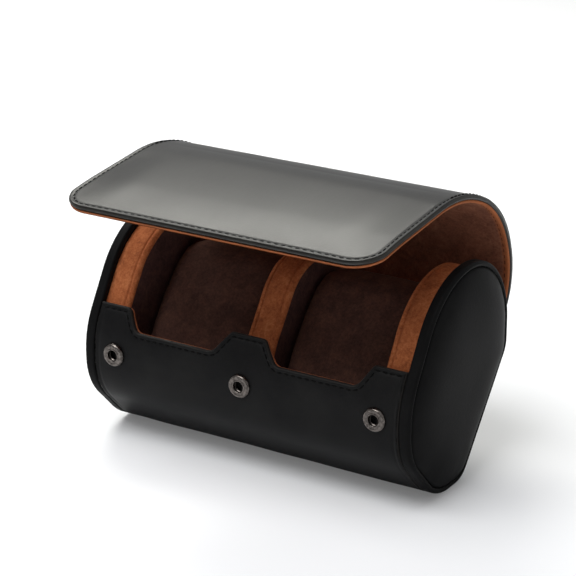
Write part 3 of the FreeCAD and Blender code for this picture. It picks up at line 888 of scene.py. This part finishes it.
flat, top_line = wall_grid(RIM_FOOT_X, 1.3)
body_skin = sheet_piece(
    "body_skin", front_path, flat, (True, False), 0, BODY_SKIN, 1.1, black_leather, body_relief,
)
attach(body_skin, "case")
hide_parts("body_leather", "body_board")
flat = wall_grid(RIM_FOOT_X - LINING_INSET, 2.0)[0]
# The lining's suede is painted darker: painted shade inside the case.
body_inside = sheet_piece(
    "body_inside", front_path, flat, (True, False), BODY_SKIN, SUEDE, 0.38, lining_suede_painted_shade,
)
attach(body_inside, "case")
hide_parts("body_lining")


def inset_line(line, distance):
    """A flat line moved to the side of falling length."""
    ahead = unit(np.gradient(line, axis=0))
    moved = line + to_right(ahead) * distance
    keep = [moved[0]]
    for point in moved[1:]:
        if point[0] > keep[-1][0] + 0.02:
            keep.append(point)
    return np.array(keep)


stitch_line = inset_line(top_line, STITCH_INSET)
stitch_line = stitch_line[np.abs(stitch_line[:, 0]) < RIM_FOOT_X - 1.5]
front_stitches = sewn("front_stitches", front_path, stitch_line, -0.06, black_thread)
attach(front_stitches, "case")


# End rims and padded end covers

# The rim's roll. The cover starts COVER_SINK under the rim's face and rises by COVER_RISE, in
# rings at COVER_SHARES of the way to the middle.
ROLL = 1.7
COVER_SINK = 1.3
COVER_RISE = 5.4
COVER_SHARES = [0.0, 0.004, 0.01, 0.02, 0.034, 0.052, 0.075, 0.105, 0.14, 0.18, 0.23, 0.29, 0.36, 0.44, 0.52]
COVER_SHARES += [0.61, 0.7, 0.79, 0.88, 0.95]

case_loop = rounded(CASE_CORNERS, CASE_RADII, 1.1)


def rim_profile():
    """The rolled rim's section as (x, inset) points: a full outer roll, then a seam under the cover."""
    foot = [(0.1, 3.2), (0.1, 0.9), (0.35, 0.3), (0.9, 0.02)]
    found = [(RIM_FOOT_X + x, inset) for x, inset in foot]
    found += [(x, 0.0) for x in np.linspace(RIM_FOOT_X + 0.9, RIM_X - ROLL, 6)[1:]]
    found += quarter(RIM_X - ROLL, 1.5, ROLL, 1.5, 12, 90, 9)
    seam = [(0.08, 1.9), (0.35, 2.2), (0.7, 2.4), (1.2, 2.6), (1.6, 3.4), (2.6, 4.58), (3.6, 4.58)]
    return found + [(RIM_X - x, inset) for x, inset in seam]


def end_cover(side, word):
    """The padded leather cover of one end, swelling from the seam inside the rim."""
    loop = inset_loop(CASE_CORNERS, CASE_RADII, 2.5, 3.5, 1.4)
    count = len(loop)
    rings = []
    for share in COVER_SHARES:
        rise = 0.16 * min(1.0, share / 0.02) ** 0.5 + 0.84 * (1 - (1 - share) ** 5.0)
        x = RIM_X - COVER_SINK + COVER_RISE * rise
        rings.append(np.column_stack([np.full(count, x), MIDDLE + (loop - MIDDLE) * (1 - share)]))
    points = np.concatenate(rings)
    y, z = points[:, 1], points[:, 2]
    share = np.repeat(COVER_SHARES, count)
    angle = np.arctan2(z - MIDDLE[1], y - MIDDLE[0])
    pucker = wander(np.cos(angle) * 9.0, np.sin(angle) * 9.0, 1.0, 12.0 + side)
    points[:, 0] += 0.16 * pucker * np.exp(-share / 0.05) * smooth(0, 0.02, share)
    points[:, 0] += 0.3 * wander(y, z, 30.0, 6.0 + side) * smooth(0, 0.2, share)
    points[:, 0] *= side
    faces = grid_faces(len(rings), count, wrap=True)
    faces.append(range(len(points) - count, len(points)))
    made = add_mesh("end_cover_leather_" + word, points, faces, smooth_leather)
    if side < 0:
        made.data.flip_normals()
    return made


for side, word in SIDES:
    rim = swept("rim_leather_" + word, case_loop, rim_profile(), smooth_leather, side, closed=True)
    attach(rim, "case")
    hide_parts("end_rim_" + word)
    cover = end_cover(side, word)
    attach(cover, "case")
    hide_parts("end_cover_" + word, "end_pad_" + word)
    seam = loop_stitches("rim_stitches_" + word, case_loop, RIM_X - 0.5, 2.15, side, pale_thread)
    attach(seam, "case")


# Inner end walls and divider: suede wrapped round a core, with a seam near the inner edge

def band_profile():
    """An inner end wall's section, from the rim over the seam and down its inner face."""
    found = [(RIM_FOOT_X + 0.2, 0.0), (RIM_FOOT_X - 1.0, -0.05), (RIM_FOOT_X - 4.0, -0.12)]
    seam = [(5.5, -0.12), (3.6, -0.1), (3.1, 0.0), (2.8, 0.6), (2.55, 0.6), (2.3, -0.05)]
    found += [(BAND_X + x, inset) for x, inset in seam]
    found += quarter(BAND_X + 1.9, 1.85, -1.9, 1.9, 0, 90, 8)
    return found + [(BAND_X, 3.0), (BAND_X, 4.5), (BAND_X, 6.5)]


def divider_profile():
    """The divider's section, from its right face over the top, with a seam at each side."""
    found = quarter(DIVIDER_X - 2.2, 2.2, 2.2, 2.2, 90, 0, 8)
    found += [(DIVIDER_X - x, inset) for x, inset in ((2.3, -0.04), (2.55, 0.6), (2.8, 0.6), (3.1, 0.0))]
    found += [(3.0, -0.1), (0.0, -0.14), (-3.0, -0.1)]
    found += [(x - DIVIDER_X, inset) for x, inset in ((3.1, 0.0), (2.8, 0.5), (2.55, 0.5), (2.3, -0.04))]
    found += quarter(2.2 - DIVIDER_X, 2.2, -2.2, 2.2, 0, 90, 8)
    return found + [(-DIVIDER_X, 4.0), (-DIVIDER_X, 6.0)]


band_loop = inset_loop(CASE_CORNERS, CASE_RADII, BAND_DROP, 8.0, 1.1)
for side, word in SIDES:
    # The walls' inner faces take the suede painted dark: painted shade.
    band = swept(
        "suede_band_" + word, band_loop, band_profile(), tan_suede, side,
        flip=True, seed=2.0 + side, inside=(4, painted_shade_suede),
    )
    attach(band, "case")
    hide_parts("inner_wall_suede_" + word)

divider_loop = inset_loop(DIVIDER_CORNERS, DIVIDER_RADII, BAND_DROP, 8.0, 1.1)
# The divider's sides and its right face take the suede painted dark: painted shade.
divider = swept(
    "divider_band", divider_loop, divider_profile(), tan_suede,
    flip=True, seed=9.0, inside=(3, painted_shade_suede),
)
right_face = [(DIVIDER_X, 2.2), (DIVIDER_X, 4.0), (DIVIDER_X, 6.0)]
divider_face = swept("divider_face", divider_loop, right_face, painted_shade_suede)
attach(divider, "case")
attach(divider_face, "case")
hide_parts("divider_suede")


# Cushions, swollen by cloth simulation from a slightly smaller closed form. A cushion lies along
# the slope of the case's lower back, and its outline's (u, v) run along and out of that slope.
# END_DRAW is how an end draws in: (share of the width, inset), from the end to the middle.

slope_y, slope_z = np.subtract(BACK_CORNER, BASE_BACK)
SLOPE = math.atan2(slope_z, slope_y)
ALONG = np.array([0.0, math.cos(SLOPE), math.sin(SLOPE)])
OUTWARD = np.array([0.0, -math.sin(SLOPE), math.cos(SLOPE)])
CUSHION_ORIGIN = np.array([0.0, *BASE_BACK]) + OUTWARD * 3.8 - ALONG * 0.3
CUSHION_CORNERS = [(0, 0), (75.0, 0), (75.0, 49.0), (37.5, 55.0), (0, 49.0)]
CUSHION_RADII = [10.0, 22.0, 21.0, 110.0, 21.0]
CUSHION_CENTRE = (BAND_X + DIVIDER_X) / 2
CUSHION_GAP = 0.8
SWELLING = 0.8
START_HALF = (BAND_X - DIVIDER_X) / 2 - CUSHION_GAP - SWELLING
END_DRAW = [(0.0, 6.5), (0.008, 4.4), (0.028, 2.7), (0.07, 1.3), (0.15, 0.5), (0.3, 0.1), (0.5, 0.0)]
CLOTH_FRAMES = 20


def cushion(side, word):
    """One cushion before it swells, with its two ends drawn in to a seam."""
    loop = inset_loop(CUSHION_CORNERS, CUSHION_RADII, SWELLING, 0, 2.6)
    count = len(loop)
    normals = loop_normals(loop)
    centre = loop.mean(axis=0)
    left = [(share * 2 * START_HALF - START_HALF, loop - normals * draw) for share, draw in END_DRAW]
    end_x, end_ring = left[0]
    end_face = []
    for scale in (0.25, 0.5, 0.75):
        end_face.append((end_x - 0.5 * (1 - scale), centre + (end_ring - centre) * scale))
    left = end_face + left
    rings = left + [(-x, ring) for x, ring in left[-2::-1]]
    points = []
    for x, ring in rings:
        placed = CUSHION_ORIGIN + ALONG * ring[:, :1] + OUTWARD * ring[:, 1:]
        placed[:, 0] = side * CUSHION_CENTRE + x
        points.append(placed)
    faces = grid_faces(len(rings), count, wrap=True)
    faces.append(range(count)[::-1])
    faces.append(range((len(rings) - 1) * count, len(rings) * count))
    made = add_mesh("cushion_" + word, np.concatenate(points), faces, cushion_suede_painted_shade)
    made.data.flip_normals()
    return made


def place_of_points(piece):
    return np.array([v.co[:] for v in piece.data.vertices])


def apply_modifier(piece, kind, **settings):
    made = piece.modifiers.new("change", kind)
    for key, value in settings.items():
        setattr(made, key, value)
    bpy.ops.object.modifier_apply(modifier="change")


def swell(piece, voxel, pressure, most):
    """Pressure simulation on the remeshed piece, each point held within a distance of its start."""
    bpy.ops.object.select_all(action="DESELECT")
    bpy.context.view_layer.objects.active = piece
    piece.select_set(True)
    apply_modifier(piece, "REMESH", mode="VOXEL", voxel_size=voxel * MM)
    start = place_of_points(piece)
    cloth = piece.modifiers.new("cloth", "CLOTH")
    cloth.settings.quality = 4
    cloth.settings.use_pressure = True
    cloth.settings.uniform_pressure_force = pressure
    cloth.settings.effector_weights.gravity = 0
    cloth.settings.tension_stiffness = 25
    cloth.settings.compression_stiffness = 25
    cloth.settings.bending_stiffness = 2
    cloth.point_cache.frame_start = 1
    cloth.point_cache.frame_end = CLOTH_FRAMES
    for number in range(1, CLOTH_FRAMES + 1):
        bpy.context.scene.frame_set(number)
    bpy.ops.object.modifier_apply(modifier="cloth")
    bpy.context.scene.frame_set(1)
    move = place_of_points(piece) - start
    size = np.linalg.norm(move, axis=1, keepdims=True)
    held = start + move * np.minimum(1, most * MM / np.maximum(size, 1e-9))
    piece.data.vertices.foreach_set("co", held.reshape(-1))
    apply_modifier(piece, "SUBSURF", levels=1, render_levels=1)
    shade_smooth(piece.data)


for side, word in SIDES:
    soft = cushion(side, word)
    swell(soft, 3.5, 3.0, 1.2)
    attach(soft, "cushion_" + word)
    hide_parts("cushion_cover_" + word, "cushion_core_" + word)


# Snap sockets: turned rings. The springs, studs, rivets, eyelets, boards and cores are the frame's.

ring_profile = [(2.5, 0.0), (3.1, 0.45), (3.15, 1.3), (2.55, 1.36), (2.48, 1.6), (2.6, 1.9), (2.85, 2.03)]
ring_profile += [(3.1, 1.95), (3.3, 1.68), (3.6, 1.64), (4.0, 1.86), (4.4, 1.92), (4.8, 1.8), (5.1, 1.52)]
ring_profile += [(5.33, 1.15), (5.46, 0.8), (5.5, 0.3), (5.5, -0.3)]
for index, x in enumerate((-SNAP_X, 0.0, SNAP_X)):
    ring = turned("socket_ring_%d" % index, ring_profile, (x, SNAP_FACE_Y, SNAP_Z), nickel)
    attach(ring, "case")
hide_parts("socket_rings")


def dress(name, material):
    """Give one of the frame's own pieces its material."""
    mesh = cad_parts[name].data
    mesh.materials.clear()
    mesh.materials.append(material)


for name in ("stud_heads", "stud_rivets", "socket_eyelets"):
    dress(name, nickel)
# The springs' dark colour is painted shade inside the rings' holes.
dress("socket_springs", spring_steel_painted_shade)
dress("divider_core", foam_material)
for side, word in SIDES:
    dress("end_board_" + word, board_material)
    dress("inner_wall_core_" + word, foam_material)


# Floor, world, lamps and camera

FLOOR_REACH = 12.0


def floor_material():
    """A pale, dull floor that glows slightly, for the camera alone."""
    made, tree, shader = new_material("floor")
    feed(tree, shader, {"Base Color": (0.86, 0.87, 0.89, 1), "Roughness": 1.0, "Specular IOR Level": 0.0})
    seen = add_node(tree, "LightPath", {}, "Is Camera Ray")
    strength = add_node(tree, "Math", {0: seen, 1: 0.12}, operation="MULTIPLY")
    glow = add_node(tree, "Emission", {"Color": (1, 1, 1, 1), "Strength": strength})
    both = add_node(tree, "AddShader", {0: shader.outputs[0], 1: glow})
    feed(tree, tree.nodes["Material Output"], {"Surface": both})
    return made


def plain_world():
    """White surroundings, brighter where they are seen or mirrored than where they light the part."""
    world = bpy.context.scene.world or bpy.data.worlds.new("world")
    bpy.context.scene.world = world
    world.use_nodes = True
    tree = world.node_tree
    tree.nodes.clear()
    ambient = add_node(tree, "Background", {"Color": (1, 1, 1, 1), "Strength": 0.3})
    shown = add_node(tree, "Background", {"Color": (1, 1, 1, 1), "Strength": 0.5})
    seen = add_node(tree, "LightPath", {}, "Is Camera Ray")
    for kind in ("Is Glossy Ray", "Is Transmission Ray"):
        other = add_node(tree, "LightPath", {}, kind)
        seen = add_node(tree, "Math", {0: seen, 1: other}, operation="MAXIMUM")
    mixed = add_node(tree, "MixShader", {0: seen, 1: ambient, 2: shown})
    feed(tree, tree.nodes.new("ShaderNodeOutputWorld"), {"Surface": mixed})


def lamp(name, place, target, size, power, colour=(1.0, 1.0, 1.0)):
    data = bpy.data.lights.new(name, "AREA")
    data.color = colour
    data.shape = "RECTANGLE"
    data.size, data.size_y = size
    data.energy = power
    made = bpy.data.objects.new(name, data)
    made.location = place
    made.rotation_euler = (Vector(target) - Vector(place)).to_track_quat("-Z", "Y").to_euler()
    bpy.context.scene.collection.objects.link(made)


floor_mesh = bpy.data.meshes.new("floor")
floor_corners = [(x * FLOOR_REACH, y * FLOOR_REACH, 0) for x, y in ((-1, -1), (1, -1), (1, 1), (-1, 1))]
floor_mesh.from_pydata(floor_corners, [], [(0, 1, 2, 3)])
floor_mesh.materials.append(floor_material())
floor = bpy.data.objects.new("floor", floor_mesh)
bpy.context.scene.collection.objects.link(floor)

plain_world()
lamp("back", (-0.6, 0.58, 0.97), (0, 0, 0.1), (0.7, 0.3), 8.0, (1.0, 0.99, 0.92))
lamp("top", (-0.2, -0.5, 1.25), (0, 0, 0.05), (0.9, 0.9), 15.0)
lamp("side", (1.3, 0.35, 0.5), (0, 0, 0.06), (0.2, 0.8), 0.3)

aim = Vector((-0.0035, 0.0055, 0.07454))
turn, tilt, away = math.radians(31.71), math.radians(20.73), 0.94076
back = Vector((math.sin(turn) * math.cos(tilt), -math.cos(turn) * math.cos(tilt), math.sin(tilt)))
camera_data = bpy.data.cameras.new("camera")
camera_data.lens = 131.25
camera_data.sensor_width = 36.0
camera = bpy.data.objects.new("camera", camera_data)
camera.location = aim + back * away
camera.rotation_euler = (-back).to_track_quat("-Z", "Y").to_euler()
bpy.context.scene.collection.objects.link(camera)
bpy.context.scene.camera = camera
bpy.context.scene.view_settings.view_transform = "Standard"
